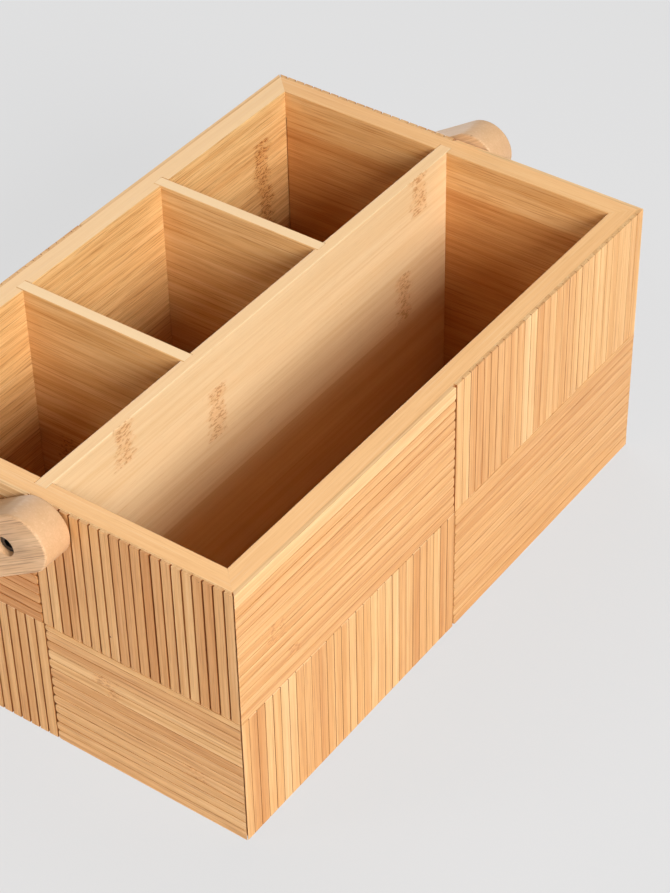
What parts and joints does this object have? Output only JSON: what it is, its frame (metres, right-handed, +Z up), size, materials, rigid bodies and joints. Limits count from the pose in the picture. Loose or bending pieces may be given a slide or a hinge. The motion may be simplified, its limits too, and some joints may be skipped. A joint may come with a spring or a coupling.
{
  "type": "utensil caddy",
  "caption": "Open rectangular bamboo caddy with one long bay, small bays beside it, ribbed checkerboard cladding and a folding carry handle.",
  "frame": {"origin": "middle of the underside of the box", "axes": "+X towards the long bay's side, +Y along the box's length to the back end, +Z up; the handle is folded down on the -X side"},
  "size_m": [0.232, 0.3316, 0.1403],
  "materials": {
    "bamboo_board": "sanded and clear oiled edge-glued bamboo board",
    "bamboo_divider": "sanded and clear oiled thin bamboo board",
    "bamboo_base": "sanded bamboo board",
    "ribbed_bamboo": "rounded ribs, sanded, clear matt",
    "handle_bamboo": "sanded, edges eased, clear matt",
    "bolt_steel": "black oxide",
    "screw_steel": "dark zinc",
    "washer_nylon": "natural nylon",
    "insert_brass": "plain turned brass"
  },
  "bodies": {
    "box": {"front_wall": "bamboo_board", "back_wall": "bamboo_board", "left_wall": "bamboo_board", "right_wall": "bamboo_board", "base_panel": "bamboo_base", "long_divider": "bamboo_divider", "cross_divider_front": "bamboo_divider", "cross_divider_back": "bamboo_divider", "front_panel_upper_left": "ribbed_bamboo", "front_panel_upper_right": "ribbed_bamboo", "front_panel_lower_left": "ribbed_bamboo", "front_panel_lower_right": "ribbed_bamboo", "back_panel_upper_left": "ribbed_bamboo", "back_panel_upper_right": "ribbed_bamboo", "back_panel_lower_left": "ribbed_bamboo", "back_panel_lower_right": "ribbed_bamboo", "left_panel_upper_left": "ribbed_bamboo", "left_panel_upper_right": "ribbed_bamboo", "left_panel_lower_left": "ribbed_bamboo", "left_panel_lower_right": "ribbed_bamboo", "right_panel_upper_left": "ribbed_bamboo", "right_panel_upper_right": "ribbed_bamboo", "right_panel_lower_left": "ribbed_bamboo", "right_panel_lower_right": "ribbed_bamboo", "pivot_bolts": "bolt_steel", "pivot_washers": "washer_nylon", "thread_inserts": "insert_brass"},
    "handle": {"handle_arm_front": "handle_bamboo", "handle_arm_back": "handle_bamboo", "handle_bar": "handle_bamboo", "bar_screws": "screw_steel"}
  },
  "joints": [
    {"name": "handle_swing", "type": "hinge", "parent": "box", "child": "handle", "pos_m": [0, 0, 0.1215], "axis": [0, 1, 0], "range_deg": [0, 246]}
  ]
}
